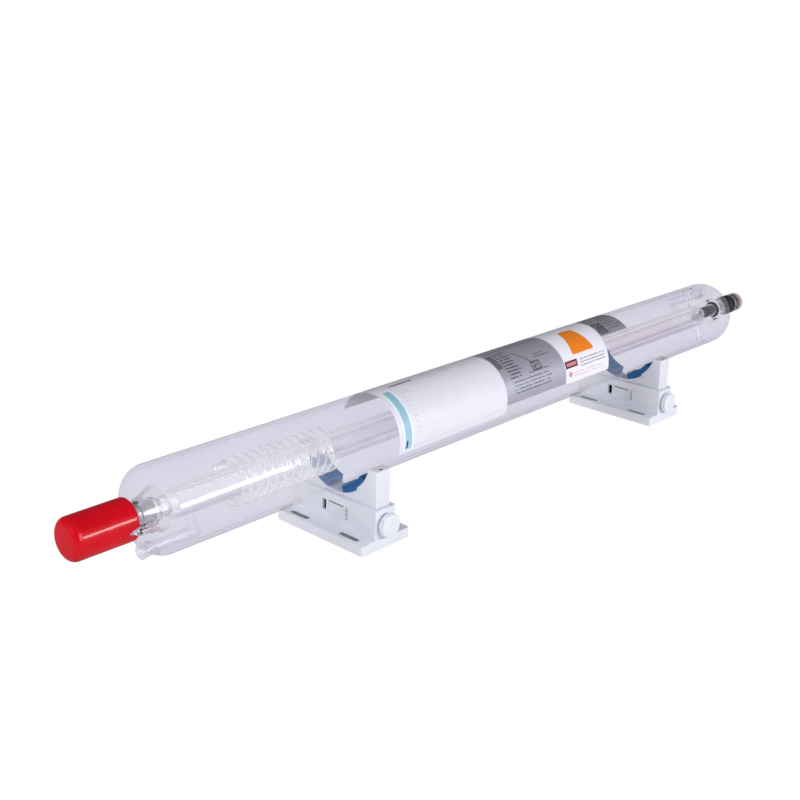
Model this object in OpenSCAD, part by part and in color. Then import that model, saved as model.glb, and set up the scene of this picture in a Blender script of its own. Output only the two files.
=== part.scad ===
// Water-cooled glass CO2 laser tube resting in two height-adjustable brackets.
// +X runs along the tube from the capped high-reflector end to the output end,
// +Z is up, and z = 0 is the surface that the brackets stand on.

/* [Glass tube] */
// Outside diameter of the glass envelope
tube_d = 50; // [49:0.5:51]
// Length of the envelope between the faces of its two domes
envelope_len = 590.3; // [563.3:1:620.3]
// Wall thickness of the envelope
envelope_wall = 2; // [1.6:0.1:2.4]
// Radius of the rounded corner of each dome
dome_corner_r = 14; // [12:0.5:15]
// Outside diameter of the inner water jacket
jacket_d = 17.2; // [16:0.2:17.6]
// Wall thickness of the water jacket
jacket_wall = 1.2; // [1:0.1:1.4]
// Outside diameter of the discharge tube
bore_tube_d = 9.2; // [8.6:0.1:9.8]
// Bore of the discharge tube
bore_d = 7; // [6:0.1:7.4]
// Height of the tube axis above the mounting surface
axis_h = 56.5; // [56:0.1:58]

/* [Gas return coil] */
// Number of turns
coil_turns = 11.75; // [10.75:1:12.75]
// Distance between turns
coil_pitch = 6.3; // [5.8:0.1:6.6]
// Radius of the helix at the middle of its tube
coil_r = 12.2; // [11.6:0.1:13]
// Outside diameter of the coiled tube
coil_tube_d = 4.4; // [3.6:0.1:4.6]

/* [Ends] */
// Outside diameter of the red push-on end cap
red_cap_d = 23.8; // [23.4:0.1:25]
// Length of the red push-on end cap
red_cap_len = 37.3; // [35.7:0.2:39.7]
// Outside diameter of the output head
head_d = 15.6; // [15.2:0.1:16.4]
// Outside diameter of the water nipples
nipple_d = 7.4; // [6.6:0.1:8]

/* [Brackets] */
// Distance between the two bracket centres
bracket_span = 309.3; // [290:0.1:320]
// Middle of the two brackets along the tube
bracket_mid = 11.5; // [0:0.1:14]
// Length of the bracket foot along the tube
foot_x = 40.2; // [38:0.2:46]
// Width of the bracket foot across the tube
foot_y = 74.6; // [74:0.2:80]
// Thickness of the bracket foot
foot_t = 6.4; // [6:0.2:7]
// Length of a mounting slot from end to end
slot_len = 16; // [10:0.5:20]
// Width of a mounting slot
slot_w = 3.6; // [3.2:0.1:4.4]
// Pitch of the height screw for one turn of the knob
screw_lead = 2; // [1:0.5:3]
// Diameter of the adjusting knob
knob_d = 15; // [14:0.2:15.6]

/* [Hidden] */
$fn = 64;

R = tube_d / 2;
Ri = R - envelope_wall;
xe = envelope_len / 2 - 1.65;     // face of the output dome
xel = xe + 3.3;                   // face of the reflector dome, which is the taller one
crown = 3;                        // height of the collar between dome and neck
xc = xe - crown - dome_corner_r;  // centre of the dome's corner
refl_corner_r = dome_corner_r - 2;
xcl = xel - 4.8 - refl_corner_r;
xs = xe - 293.5;                  // how far both ends move out when the envelope is longer
xil = xel - envelope_wall;        // inner face of the reflector dome
neck_r = 6.2;
neck_bore = 4.4;
jr = jacket_d / 2;
jri = jr - jacket_wall;
br = bore_tube_d / 2;
bri = bore_d / 2;
jx0 = -274 - xs;                  // closed ends of the water jacket
jx1 = 271 + xs;
cx0 = -233 - xs;                  // first turn of the coil
coil_end = cx0 + coil_turns * coil_pitch;
port_a = 96 - 360 * coil_turns - 14;  // the port stands just past the last turn
port_x = coil_end + coil_pitch * 14 / 360;
nip_r = nipple_d / 2;
nip_step = 0.3;                   // the pipe is this much thinner inside the envelope
nip_rim = 0.5;                    // height of the rim that holds the hose
in_y = -9;    in_z = -16;         // inlet nipple, beside the tube axis
out_y = 12.4; out_z = 12.4;       // outlet nipple, on the far upper side
stem_y = -12; stem_z = -2.9;      // sealed pump stem
cath_y = 12;  cath_z = -8;        // cathode terminal
label_t = 0.15;

// brackets
xl = bracket_mid - bracket_span / 2;
xr = bracket_mid + bracket_span / 2;
screw_z = 14.8;
house_x = 16.4;
house_y = foot_y - 1;
house_top = 24.9;
floor_z = 2.6;
wall_x = 2.1;
wall_y = 2;
sad_x = house_x - 2 * wall_x - 0.6;
sad_y = house_y - 2 * wall_y - 0.6;
sad_top = 48.3;
sad_low = 4.8;
seat_r = 29;                      // radius of the cradle
seat_deep_r = 30.1;
step_a = 38;                      // angle of the step, from straight down
pin_y = -8;                       // rest position of the cross pin along the screw
cam_slope = 0.5;                  // rise of the cam slot for its length
nut_back = 3;                     // nut travel below and above rest
nut_fwd = 11;
pin_r = 2;

// ---------- helpers ----------
// points of an arc in the (radius, x) plane
function arc(cr, cx, r, a0, a1, n = 12) =
    [for (i = [0:n]) let (a = a0 + (a1 - a0) * i / n) [cr + r * cos(a), cx + r * sin(a)]];
// half profile of a dome from the collar outwards, at an inward offset w; s = +1 for the +X end
function dome(w, nr, s) = let (
    rc = s > 0 ? dome_corner_r : refl_corner_r, c = s > 0 ? xc : xcl, e = s > 0 ? xe : xel)
    concat(
        [[R - w, 0]],
        [for (p = arc(R - rc, c, rc - w, 0, 90)) [p[0], s * p[1]]],
        // the reflector dome rises to its neck over a hollow fillet
        s > 0 ? [] : [[nr + 5 - w * 0.2, -(e - 4.1 - w)], [nr + 3.8 - w * 0.2, -(e - 2.4 - w)]],
        [[nr + 2.8 - w * 0.2, s * (e - w)], [nr + 0.6, s * (e + 1.4 - w)], [nr, s * (e + 3.4 - w)]]);

// revolve a (radius, x) profile around the tube axis
module spin() {
    translate([0, 0, axis_h]) rotate([0, 90, 0]) rotate_extrude($fn = 96) children();
}
// straight round bar along X, at an offset from the tube axis
module bar(r, x0, x1, y = 0, z = 0, r2 = -1) {
    translate([x0, y, axis_h + z]) rotate([0, 90, 0]) cylinder(r1 = r, r2 = r2 < 0 ? r : r2, h = x1 - x0);
}
// round bar in the plane across the tube, leaving the axis at angle a (0 = +Y, 90 = up)
module spoke(r, x, a, r0, r1, rr2 = -1) {
    translate([x, 0, axis_h]) rotate([a - 90, 0, 0]) translate([0, 0, r0])
        cylinder(r1 = r, r2 = rr2 < 0 ? r : rr2, h = r1 - r0);
}
// what belongs to the reflector end or the output end, carried along with it
module reflector_end() { translate([-xs, 0, 0]) children(); }
module output_end() { translate([xs, 0, 0]) children(); }
function ang(y, z) = atan2(z, y);
function rho(y, z) = sqrt(y * y + z * z);

// ---------- glass ----------
module glass_envelope() {
    color([0.86, 0.88, 0.93, 0.35]) difference() {
        spin() polygon(concat(
            [for (p = dome(0, neck_r, 1)) p], [[neck_r, 314 + xs], [neck_bore, 314 + xs]],
            [for (i = [0:len(dome(envelope_wall, neck_bore, 1)) - 1])
                let (q = dome(envelope_wall, neck_bore, 1)) q[len(q) - 1 - i]],
            [for (p = dome(envelope_wall, neck_bore, -1)) p], [[neck_bore, -316 - xs], [neck_r, -316 - xs]],
            [for (i = [0:len(dome(0, neck_r, -1)) - 1])
                let (q = dome(0, neck_r, -1)) q[len(q) - 1 - i]]));
        reflector_end() {
            bar(nip_r - nip_step, -300, -280, in_y, in_z);
            bar(2, -300, -280, stem_y, stem_z);
            translate([-305, 0, axis_h + 3]) cylinder(r = 0.6, h = 6);
        }
        output_end() {
            bar(nip_r - nip_step, 280, 300, out_y, out_z);
            bar(1.8, 280, 300, cath_y, cath_z);
        }
    }
}

module water_jacket() {
    color([0.84, 0.84, 0.9, 0.35]) difference() {
        spin() polygon(concat(
            [[br, jx0]], [for (p = arc(jr - 3.6, jx0 + 3.6, 3.6, -90, 0, 8)) p],
            [for (p = arc(jr - 3.6, jx1 - 3.6, 3.6, 0, 90, 8)) p], [[br, jx1]],
            [[br, jx1 - jacket_wall]], [for (p = arc(jr - 3.6, jx1 - 3.6, 2.4, 90, 0, 8)) p],
            [for (p = arc(jr - 3.6, jx0 + 3.6, 2.4, 0, -90, 8)) p], [[br, jx0 + jacket_wall]]));
        // water ports and the gas return port pass through the wall
        reflector_end() spoke(2.6, -262, ang(in_y, in_z), 5, 12);
        output_end() spoke(2.6, 247, ang(out_y, out_z), 5, 12);
        spoke(2.2, port_x, port_a, 5, 12);
    }
}

module discharge_tube() {
    color([0.86, 0.82, 0.86, 0.35]) difference() {
        spin() polygon(concat(
            // sealed to the inside of the reflector-end dome
            [[neck_bore, -xil - 3.38], [neck_bore + 0.6, -xil - 1.38], [neck_bore + 2.1, -xil - 0.2],
             [neck_bore + 2.4, -xil + 0.04], [neck_bore + 3.4, -xil + 2.44], [neck_bore + 4.5, -xil + 4.02]],
            // an open bell with a rolled rim
            [[9.4, -xil + 6.8], [11.3, -xil + 11.4], [12.5, -xil + 14.2], [12.9, -xil + 14.7], [12.8, -xil + 15.2],
             [12.2, -xil + 15.3], [11.6, -xil + 14.6], [10.3, -xil + 11], [8.4, -xil + 6.6], [8, -xil + 4.6], [7.2, -xil + 3.9]],
            // a bulb around the anode, then the long bore
            [[6.9, -xil + 5], [6.9, -xil + 12.5], [5.8, -xil + 15.5], [br, -xil + 16.9]],
            [[br, 274.5 + xs], [bri, 274.5 + xs]],
            [[bri, -xil + 16.3], [4.6, -xil + 14.3], [5.8, -xil + 11.9], [5.8, -xil + 3.1], [4.9, -xil + 1], [3.6, -xil - 1.5]]));
        spoke(2.2, port_x, port_a, 2.6, 8);
    }
}

module bore_spacers() {
    color([0.8, 0.8, 0.86, 0.5]) for (x = [-126, 20, 163]) for (a = [90, 210, 330])
        intersection() {
            spoke(1.5, x, a, br - 1, jri + 1);
            spin() translate([br, x - 4]) square([jri - br, 8]);
        }
}

module jacket_feet() {
    color([0.82, 0.82, 0.88, 0.5]) output_end() for (a = [68, 248]) intersection() {
        union() {
            spoke(1.8, 265, a, jr - 1, R - 6);
            spoke(1.8, 265, a, R - 7, R, 5.6);
        }
        spin() translate([jr, 253]) square([Ri - jr, 24]);
    }
}

// points of the helix: a straight open tail, then the turns
ring_n = 14;
function helix_pt(t) = [cx0 + t * coil_pitch, coil_r * cos(96 - 360 * t), coil_r * sin(96 - 360 * t)];
coil_path = concat(
    [[cx0 - 11, coil_r * cos(100) , coil_r * sin(100)], [cx0 - 5, coil_r * cos(100), coil_r * sin(100)]],
    [for (i = [0.35:1:coil_turns * ring_n]) helix_pt(i / ring_n)]);
function unit(v) = v / norm(v);
coil_side = 8;
// rings of points around the path: the radial direction is the frame's first axis
function ring(i, r) =
    let (n = len(coil_path), p = coil_path[i],
         t = unit(coil_path[min(i + 1, n - 1)] - coil_path[max(i - 1, 0)]),
         rad = unit([0, p[1], p[2]]), u = unit(rad - t * (rad * t)), v = cross(t, u))
    [for (k = [0:coil_side - 1]) let (a = 360 * (k + 0.5) / coil_side) p + r * (u * cos(a) + v * sin(a))];
module gas_return_coil() {
    n = len(coil_path);
    m = coil_side;
    ro = coil_tube_d / 2 / cos(180 / m) * 0.97;
    ri = ro - 0.9;
    pts = concat([for (i = [0:n - 1]) each ring(i, ro)], [for (i = [0:n - 1]) each ring(i, ri)]);
    function o(i, k) = i * m + (k % m);
    function h(i, k) = (n + i) * m + (k % m);
    color([0.9, 0.92, 0.97, 0.5]) translate([0, 0, axis_h]) polyhedron(points = pts, faces = concat(
        [for (i = [0:n - 2]) for (k = [0:m - 1]) [o(i, k), o(i, k + 1), o(i + 1, k + 1)]],
        [for (i = [0:n - 2]) for (k = [0:m - 1]) [o(i, k), o(i + 1, k + 1), o(i + 1, k)]],
        [for (i = [0:n - 2]) for (k = [0:m - 1]) [h(i, k), h(i + 1, k + 1), h(i, k + 1)]],
        [for (i = [0:n - 2]) for (k = [0:m - 1]) [h(i, k), h(i + 1, k), h(i + 1, k + 1)]],
        [for (k = [0:m - 1]) [o(0, k), h(0, k + 1), o(0, k + 1)]],
        [for (k = [0:m - 1]) [o(0, k), h(0, k), h(0, k + 1)]],
        [for (k = [0:m - 1]) [o(n - 1, k), o(n - 1, k + 1), h(n - 1, k + 1)]],
        [for (k = [0:m - 1]) [o(n - 1, k), h(n - 1, k + 1), h(n - 1, k)]]));
}

module gas_return_port() {
    color([0.88, 0.9, 0.95, 0.5]) difference() {
        spoke(2.2, port_x, port_a, 3.6, coil_r + 1.6);
        spoke(1.3, port_x, port_a, 3, coil_r + 0.4);
    }
}

// nipple outside the dome, a thinner pipe inside it, then a spoke down to the jacket
module water_pipe(s, x_out, dome_x, x_in, y, z) {
    d = rho(y, z);
    a = ang(y, z);
    r = nip_r - nip_step;
    difference() {
        union() {
            bar(nip_r, min(x_out, dome_x), max(x_out, dome_x), y, z);
            bar(nip_r + nip_rim, s > 0 ? x_out - 2 : x_out + 0.4, s > 0 ? x_out - 0.4 : x_out + 2, y, z);
            bar(r, min(x_in, dome_x), max(x_in, dome_x), y, z);
            translate([x_in, y, axis_h + z]) sphere(r = r);
            spoke(2.6, x_in, a, jri - 0.2, d);
        }
        bar(nip_r - 1.2, s > 0 ? x_in : x_out - 1, s > 0 ? x_out + 1 : x_in, y, z);
        translate([x_in, y, axis_h + z]) sphere(r = nip_r - 1.2);
        spoke(1.5, x_in, a, jri - 2, d);
        spin() translate([0, x_in - 5]) square([jri, 10]);
    }
}
module inlet_water_pipe() {
    color([0.85, 0.87, 0.9, 0.5]) reflector_end() water_pipe(-1, -297.5, -292.2, -262, in_y, in_z);
}
module outlet_water_pipe() {
    color([0.85, 0.87, 0.9, 0.5]) output_end() water_pipe(1, 300.6, 290.8, 247, out_y, out_z);
}

module pump_stem() {
    color([0.93, 0.86, 0.88, 0.6]) reflector_end() difference() {
        union() {
            bar(2, -299, -288, stem_y, stem_z);
            bar(0.5, -303.8, -299, stem_y, stem_z, 2);
        }
        bar(1.1, -298, -287, stem_y, stem_z);
    }
}

// ---------- electrodes and mirrors ----------
module anode_sleeve() {
    color([0.55, 0.55, 0.58]) reflector_end() spin() translate([5.1, -291.4]) square([0.69, 8]);
}
module anode_pin() {
    color([0.6, 0.6, 0.62]) reflector_end() translate([-305, 0, axis_h + neck_bore - 0.2]) cylinder(r = 0.6, h = 5.2);
}
module cathode_sleeve() {
    color([0.32, 0.32, 0.36]) output_end() spin() polygon([
        [3.6, 281], [4.5, 281], [4.5, 292.2], [4.2, 292.7], [4.2, 294], [3.6, 294]]);
}
module cathode_pin() {
    d = rho(cath_y, cath_z);
    a = ang(cath_y, cath_z);
    color([0.5, 0.5, 0.54]) output_end() {
        difference() {
            union() {
                spoke(0.5, 284, a, 4.55, d);
                translate([284, cath_y, axis_h + cath_z]) sphere(r = 0.5);
                bar(0.5, 284, 301, cath_y, cath_z);
                bar(1.8, 286.5, 294.5, cath_y, cath_z);
            }
        }
    }
}
module rear_mirror_mount() {
    color([0.78, 0.79, 0.81]) reflector_end() spin() polygon([
        [neck_r, -310], [9.4, -310], [10.3, -311], [10.3, -325], [9.1, -325], [9.1, -318], [4.8, -318], [4.8, -316], [neck_r, -316]]);
}
module rear_mirror() {
    color([0.85, 0.7, 0.35]) reflector_end() bar(9, -321.2, -318.0);
}
module rear_mirror_ring() {
    color([0.7, 0.7, 0.72]) reflector_end() spin() translate([6.6, -323.8]) square([2.45, 2.5]);
}
module output_mirror() {
    color([0.9, 0.72, 0.35]) output_end() bar(7, 314, 317);
}
module output_sleeve() {
    r = head_d / 2;
    color([0.2, 0.2, 0.22]) output_end() spin() polygon(concat(
        // stepped rim around the neck
        [[neck_r, 310.6], [r - 1.1, 310.6], [r - 1.1, 311.5], [r - 0.3, 311.7], [r - 0.3, 312.5], [r - 0.7, 312.7], [r, 313], [r, 321]],
        // three grooves under the clear cap
        [for (i = [0:2]) each [[r - 0.75, 321.4 + i * 3.6], [r - 0.75, 323.2 + i * 3.6], [r - 1.35, 323.6 + i * 3.6], [r - 1.35, 324.6 + i * 3.6]]],
        [[r - 0.75, 332.2], [r - 1, 332.6], [5.4, 332.6], [5.4, 317.1], [7.03, 317], [7.03, 314], [neck_r, 314]]));
}
module output_cap() {
    r = head_d / 2;
    color([0.85, 0.86, 0.88, 0.5]) output_end() spin() polygon([
        [r - 0.72, 321.6], [r, 321.6], [r, 333.6], [r - 0.6, 334.8], [r - 1.6, 335.2], [0, 335.2],
        [0, 334.1], [r - 1.9, 334.1], [r - 1, 333.6], [r - 0.72, 333]]);
}
module red_end_cap() {
    r = red_cap_d / 2;
    x1 = -xel - 1.2;
    x0 = x1 - red_cap_len;
    color([0.82, 0.03, 0.08]) difference() {
        spin() polygon(concat(
            [[0, x0]], [for (p = arc(r - 4.5, x0 + 4.5, 4.5, -90, 0, 10)) p],
            [[r, x1 - 0.6], [r - 0.4, x1], [r - 1.3, x1]],
            [for (p = arc(r - 1.5 - 3.4, x0 + 1.6 + 3.4, 3.4, 0, -90, 8)) p], [[0, x0 + 1.6]]));
        // notch that clears the pump stem
        translate([0, -r + 4, axis_h]) rotate([90, 0, 0]) linear_extrude(height = 8)
            polygon([[x1 + 1, 0.6], [x1 - 6.4, -2.3], [x1 - 6.4, -3.7], [x1 + 1, -5.6]]);
    }
}

// ---------- labels ----------
// angles run from the near horizontal (0) over the top (90) to the far side
module wrap(x0, x1, a0, a1) {
    translate([0, 0, axis_h]) rotate([0, 90, 0]) rotate([0, 0, 270 - a1])
        rotate_extrude(angle = a1 - a0, $fn = 96) translate([R, x0]) square([label_t, x1 - x0]);
}
module main_label()   { color([0.95, 0.95, 0.98]) wrap(-119.5, -15.6, -21, 160); }
module data_label()   { color([0.66, 0.67, 0.71]) wrap(-15.5, 49.8, -6, 150); }
module symbol_label() { color([0.96, 0.95, 0.98]) wrap(50.4, 102.4, -8, 130); }
module code_label()   { color([0.78, 0.79, 0.83]) wrap(103.4, 137, 49, 112); }

// ---------- bracket ----------
module slot_hole(x, y) {
    translate([x, y, -1]) linear_extrude(height = foot_t + 2) union() {
        square([slot_w, slot_len - slot_w], center = true);
        for (s = [-1, 1]) translate([0, s * (slot_len - slot_w) / 2]) circle(d = slot_w, $fn = 32);
    }
}
module rounded_block(x, y, z0, z1, r) {
    translate([0, 0, z0]) linear_extrude(height = z1 - z0) union() {
        square([x - 2 * r, y], center = true);
        square([x, y - 2 * r], center = true);
        for (a = [-1, 1]) for (b = [-1, 1]) translate([a * (x / 2 - r), b * (y / 2 - r)]) circle(r = r, $fn = 24);
    }
}
module foot(x) {
    color([0.93, 0.93, 0.97]) translate([x, 0, 0]) difference() {
        union() {
            rounded_block(foot_x, foot_y, 0, foot_t, 1.2);
            rounded_block(house_x, house_y, 0, house_top, 0.8);
        }
        // cavity for the saddle
        translate([-sad_x / 2 - 0.3, -sad_y / 2 - 0.3, floor_z]) cube([sad_x + 0.6, sad_y + 0.6, 40]);
        // bearings of the height screw in the two end walls
        translate([0, 0, screw_z]) rotate([90, 0, 0]) cylinder(r = 2.6, h = foot_y, center = true);
        // mounting slots
        for (a = [-1, 1]) for (b = [-1, 1]) slot_hole(a * 15.5, b * 21.5);
        // shallow window and indicator slot on the side face
        translate([-house_x / 2 - 1, -9.2, 9.6]) cube([1.8, 13.2, 10.2]);
        translate([-house_x / 2 - 1, 5.8, 12.4]) cube([6, 3.4, 6.9]);
    }
}
// solid of a drawing in the plane across the tube, between two stations along it
module across(x0, x1) {
    translate([x0, 0, 0]) rotate([90, 0, 90]) linear_extrude(height = x1 - x0) children();
}
module saddle(x) {
    hx = sad_x / 2;
    hy = sad_y / 2;
    color([0.93, 0.93, 0.97]) translate([x, 0, 0]) difference() {
        rounded_block(sad_x, sad_y, sad_low, sad_top, 0.8);
        // cradle, with a deeper seat for the thick lower part of the pads
        translate([-20, 0, axis_h]) rotate([0, 90, 0]) cylinder(r = seat_r, h = 40, $fn = 128);
        intersection() {
            translate([-20, 0, axis_h]) rotate([0, 90, 0]) cylinder(r = seat_deep_r, h = 40, $fn = 128);
            across(-20, 20) polygon([[0, axis_h], [-60 * tan(step_a), axis_h - 60], [60 * tan(step_a), axis_h - 60]]);
        }
        // core that leaves two side skirts around the screw
        translate([-hx + 1.8, -hy - 1, 0]) cube([sad_x - 3.6, sad_y + 2, 21.8]);
        // cores inside the posts
        for (s = [-1, 1]) translate([-2.6, s > 0 ? 22.5 : -32.5, 21]) cube([5.2, 10, 9]);
        // slanted slots for the cross pin
        hull() for (t = [-nut_back, nut_fwd])
            translate([-20, pin_y + t, screw_z - t * cam_slope]) rotate([0, 90, 0]) cylinder(r = pin_r + 0.2, h = 40, $fn = 32);
        // sight opening behind the indicator slot of the housing
        translate([-hx - 1, 5.2, 11.4]) cube([3.2, 8.8, 9]);
        // strap screw holes in the tops of the posts
        for (s = [-1, 1]) translate([0, s * 32, sad_top - 10]) cylinder(r = 1.3, h = 12, $fn = 32);
    }
}
// two rubber arcs: thick at the bottom, thinner above the step
module pads(x) {
    w = sad_x + 0.4;
    color([0.03, 0.25, 0.55]) for (s = [0, 1]) mirror([0, s, 0])
        translate([x - w / 2, 0, axis_h]) rotate([0, 90, 0]) difference() {
            rotate([0, 0, -56]) rotate_extrude(angle = 56 - 12, $fn = 128)
                translate([R, 0]) square([seat_deep_r - R, w]);
            translate([0, 0, -1]) rotate([0, 0, -58]) rotate_extrude(angle = 58 - step_a, $fn = 128)
                translate([seat_r, 0]) square([seat_deep_r - R, w + 2]);
        }
}
module knob(x) {
    r = knob_d / 2;
    color([0.94, 0.94, 0.98]) translate([x, -house_y / 2 - 0.4, screw_z]) rotate([90, 0, 0]) difference() {
        union() {
            rotate_extrude($fn = 96) polygon([[1.5, 0], [r - 1.0, 0], [r - 1.0, 0.7], [r, 1.2], [r, 4.1], [r - 0.5, 4.6], [0, 4.6], [0, 3.2], [1.5, 3.2]]);
        }
        // grip flutes around the rim
        for (i = [0:19]) rotate([0, 0, i * 18]) translate([r + 0.55, 0, 1.3]) cylinder(r = 0.8, h = 5, $fn = 16);
    }
}
module screw(x) {
    color([0.75, 0.76, 0.78]) translate([x, 0, screw_z]) rotate([90, 0, 0]) {
        // shaft from the far wall to the knob, with a spigot inside the knob
        translate([0, 0, -house_y / 2 + 0.2]) cylinder(r = 2.5, h = house_y + 0.2);
        translate([0, 0, house_y / 2 + 0.4]) cylinder(r = 1.5, h = 3.15, $fn = 32);
    }
}
// retaining clip on the shaft, inside the near wall
module screw_clip(x) {
    color([0.6, 0.6, 0.62]) translate([x, -sad_y / 2 + 0.9, screw_z]) rotate([90, 0, 0]) difference() {
        cylinder(r = 3.7, h = 1);
        translate([0, 0, -1]) cylinder(r = 2.5, h = 3);
    }
}
module nut(x) {
    color([0.04, 0.04, 0.05]) translate([x, pin_y, screw_z]) difference() {
        translate([-3.7, -5, -5]) cube([7.4, 26, 10]);
        translate([0, 30, 0]) rotate([90, 0, 0]) cylinder(r = 2.58, h = 60);
        // sockets of the cross pin
        for (s = [-1, 1]) translate([s > 0 ? 2.9 : -4, 0, 0]) rotate([0, 90, 0]) cylinder(r = pin_r, h = 1.1, $fn = 32);
    }
}
module cross_pin(x) {
    color([0.72, 0.73, 0.75]) translate([x, pin_y, screw_z]) for (s = [-1, 1])
        translate([s > 0 ? 2.9 : -2.9 - 2.8, 0, 0]) rotate([0, 90, 0]) cylinder(r = pin_r, h = 2.8, $fn = 32);
}
module left_saddle()      { saddle(xl); }
module left_pads()        { pads(xl); }
module left_foot()        { foot(xl); }
module left_knob()        { knob(xl); }
module left_screw()       { screw(xl); }
module left_screw_clip()  { screw_clip(xl); }
module left_nut()         { nut(xl); }
module left_cross_pin()   { cross_pin(xl); }
module right_saddle()     { saddle(xr); }
module right_pads()       { pads(xr); }
module right_foot()       { foot(xr); }
module right_knob()       { knob(xr); }
module right_screw()      { screw(xr); }
module right_screw_clip() { screw_clip(xr); }
module right_nut()        { nut(xr); }
module right_cross_pin()  { cross_pin(xr); }

glass_envelope();
water_jacket();
discharge_tube();
bore_spacers();
jacket_feet();
gas_return_coil();
gas_return_port();
inlet_water_pipe();
outlet_water_pipe();
pump_stem();
anode_sleeve();
anode_pin();
cathode_sleeve();
cathode_pin();
rear_mirror_mount();
rear_mirror();
rear_mirror_ring();
output_mirror();
output_sleeve();
output_cap();
red_end_cap();
main_label();
data_label();
symbol_label();
code_label();
left_saddle();
left_pads();
left_foot();
left_knob();
left_screw();
left_screw_clip();
left_nut();
left_cross_pin();
right_saddle();
right_pads();
right_foot();
right_knob();
right_screw();
right_screw_clip();
right_nut();
right_cross_pin();
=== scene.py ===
import math

import bmesh
import bpy
import numpy as np
from mathutils import Matrix, Vector


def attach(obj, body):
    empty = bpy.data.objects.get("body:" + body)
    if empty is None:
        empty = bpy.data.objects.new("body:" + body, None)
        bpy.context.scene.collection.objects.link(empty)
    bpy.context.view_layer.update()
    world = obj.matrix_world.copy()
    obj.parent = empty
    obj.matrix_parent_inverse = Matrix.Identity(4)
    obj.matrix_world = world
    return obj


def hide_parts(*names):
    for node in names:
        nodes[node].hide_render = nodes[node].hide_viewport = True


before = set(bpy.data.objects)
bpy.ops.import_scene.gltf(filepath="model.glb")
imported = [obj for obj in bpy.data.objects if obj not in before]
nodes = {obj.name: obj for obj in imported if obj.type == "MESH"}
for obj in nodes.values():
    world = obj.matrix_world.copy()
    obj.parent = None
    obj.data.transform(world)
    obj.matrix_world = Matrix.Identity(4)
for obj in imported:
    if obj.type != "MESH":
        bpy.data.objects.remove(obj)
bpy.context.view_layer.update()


MM = 0.001
AX = 56.5  # height of the tube axis, mm
R = 25.0
TUBE = "tube_and_saddles"
XL, XR = -143.15, 166.15
SIDES = (("left", XL), ("right", XR))


# ------------------------------------------------------------------ meshes
def add_mesh(name, verts, faces, sharp=35.0, scale=MM):
    me = bpy.data.meshes.new(name)
    me.from_pydata([tuple(float(c) * scale for c in v) for v in verts], [], faces)
    me.validate()
    bm = bmesh.new()
    bm.from_mesh(me)
    bmesh.ops.remove_doubles(bm, verts=bm.verts, dist=1e-7)
    bmesh.ops.recalc_face_normals(bm, faces=bm.faces)
    bm.to_mesh(me)
    bm.free()
    me.polygons.foreach_set("use_smooth", [True] * len(me.polygons))
    me.set_sharp_from_angle(angle=math.radians(sharp))
    ob = bpy.data.objects.new(name, me)
    bpy.context.scene.collection.objects.link(ob)
    return ob


def put(ob, body, mat=None, replaces=()):
    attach(ob, body)
    if replaces:
        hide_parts(*replaces)
    if mat is not None:
        ob.data.materials.clear()
        ob.data.materials.append(mat)
    return ob


def arc(cx, cr, r, a0, a1, n=12):
    """Points of an arc in the (x, radius) plane; 0 points outwards and 90 towards +X."""
    return [
        (
            cx + r * math.sin(math.radians(a0 + (a1 - a0) * i / n)),
            cr + r * math.cos(math.radians(a0 + (a1 - a0) * i / n)),
        )
        for i in range(n + 1)
    ]


def revolve_data(profile, n=96, y=0.0, z=AX, closed=True, wobble=None):
    """A closed (x, radius) loop turned about a line along X."""
    verts, rings = [], []
    for x, r in profile:
        if r < 1e-6:
            rings.append([len(verts)] * n)
            verts.append((x, y, z))
        else:
            base = len(verts)
            for k in range(n):
                a = 2 * math.pi * k / n
                rr = r if wobble is None else r + wobble(x, a)
                verts.append((x, y + rr * math.cos(a), z + rr * math.sin(a)))
            rings.append([base + k for k in range(n)])
    faces = []
    m = len(rings)
    for i in range(m if closed else m - 1):
        a, b = rings[i], rings[(i + 1) % m]
        for k in range(n):
            q = [a[k], a[(k + 1) % n], b[(k + 1) % n], b[k]]
            q = [v for j, v in enumerate(q) if v not in q[:j]]
            if len(q) > 2:
                faces.append(q)
    return verts, faces


def revolve(name, profile, n=96, y=0.0, z=AX, sharp=35.0, closed=True, wobble=None):
    v, f = revolve_data(profile, n, y, z, closed, wobble)
    return add_mesh(name, v, f, sharp)


def merge(*parts):
    verts, faces = [], []
    for v, f in parts:
        k = len(verts)
        verts += list(v)
        faces += [[i + k for i in q] for q in f]
    return verts, faces


def sweep_data(path, r, sides=12, closed=False, radii=None, up=(0.31, 0.17, 0.93)):
    """A round bar along a path in mm, with flat closed ends unless the path is closed."""
    p = [Vector(q) for q in path]
    n = len(p)
    tang = []
    for i in range(n):
        a = p[(i - 1) % n] if closed else p[max(i - 1, 0)]
        b = p[(i + 1) % n] if closed else p[min(i + 1, n - 1)]
        tang.append((b - a).normalized())
    u = Vector(up)
    u = (u - tang[0] * u.dot(tang[0])).normalized()
    verts, faces, rings = [], [], []
    for i in range(n):
        u = (u - tang[i] * u.dot(tang[i])).normalized()
        w = tang[i].cross(u)
        rr = radii[i] if radii is not None else r
        base = len(verts)
        for k in range(sides):
            a = 2 * math.pi * k / sides
            verts.append(tuple(p[i] + (u * math.cos(a) + w * math.sin(a)) * rr))
        rings.append([base + k for k in range(sides)])
    for i in range(n if closed else n - 1):
        a, b = rings[i], rings[(i + 1) % n]
        for k in range(sides):
            faces.append([a[k], a[(k + 1) % sides], b[(k + 1) % sides], b[k]])
    if not closed:
        faces.append(list(reversed(rings[0])))
        faces.append(list(rings[-1]))
    return verts, faces


def pt(x, ang, r):
    """Point at an angle from the near horizontal (0) over the top (90)."""
    a = math.radians(ang)
    return (x, -r * math.cos(a), AX + r * math.sin(a))


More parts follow.
